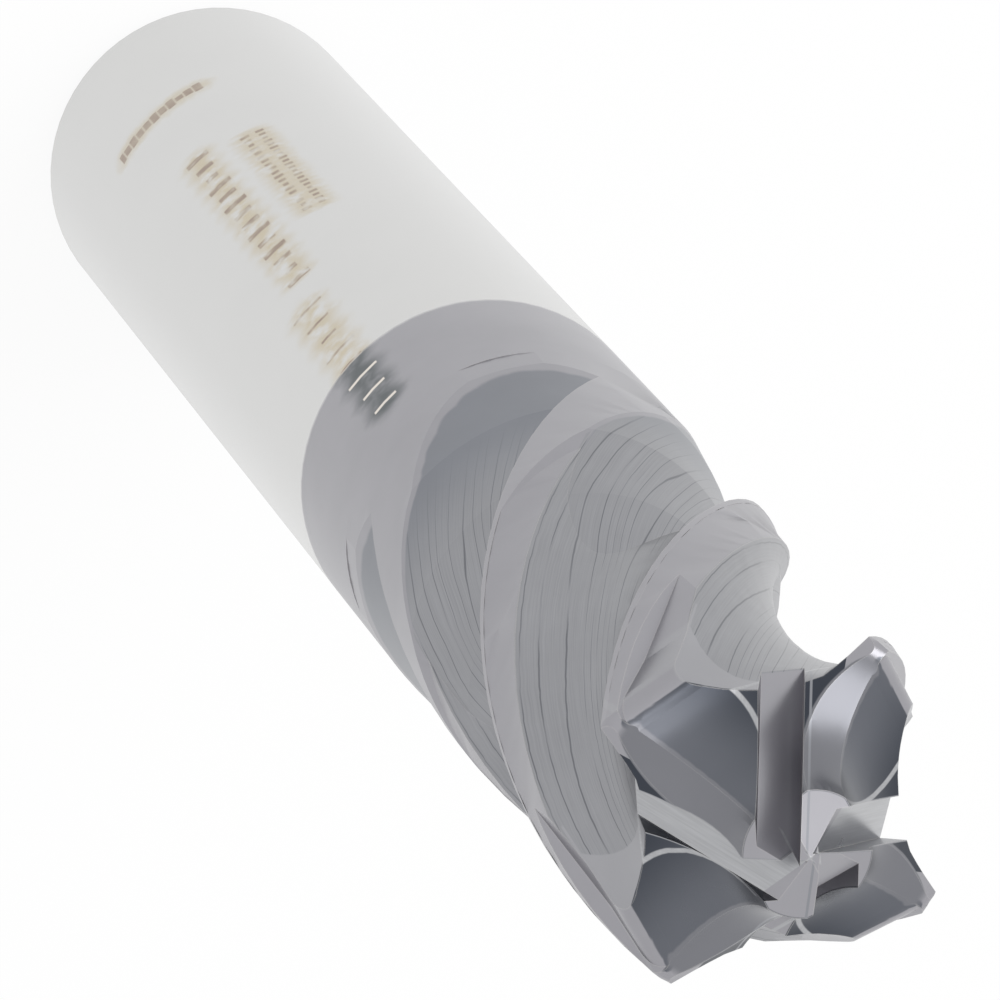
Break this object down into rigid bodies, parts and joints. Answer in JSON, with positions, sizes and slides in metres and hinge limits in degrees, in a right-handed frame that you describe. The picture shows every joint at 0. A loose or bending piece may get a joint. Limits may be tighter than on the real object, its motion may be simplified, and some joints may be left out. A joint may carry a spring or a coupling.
{
  "type": "corner rounding end mill",
  "caption": "Solid carbide end mill with helical flutes whose cutting end is a concave quarter round, for rounding over the top edges of a milled workpiece.",
  "frame": {"origin": "centre of the flat end of the shank", "axes": "+Z along the tool's axis from the shank end to the cutting end; the right-hand cutting teeth move anticlockwise seen from the cutting end"},
  "size_m": [0.0096, 0.0096, 0.0635],
  "materials": {
    "ground_carbide": "ground cemented carbide, bare and satin on the shank, with a dark grey nitride coating on the fluted end"
  },
  "bodies": {
    "root": {"corner_rounding_end_mill": "ground_carbide"}
  },
  "joints": []
}
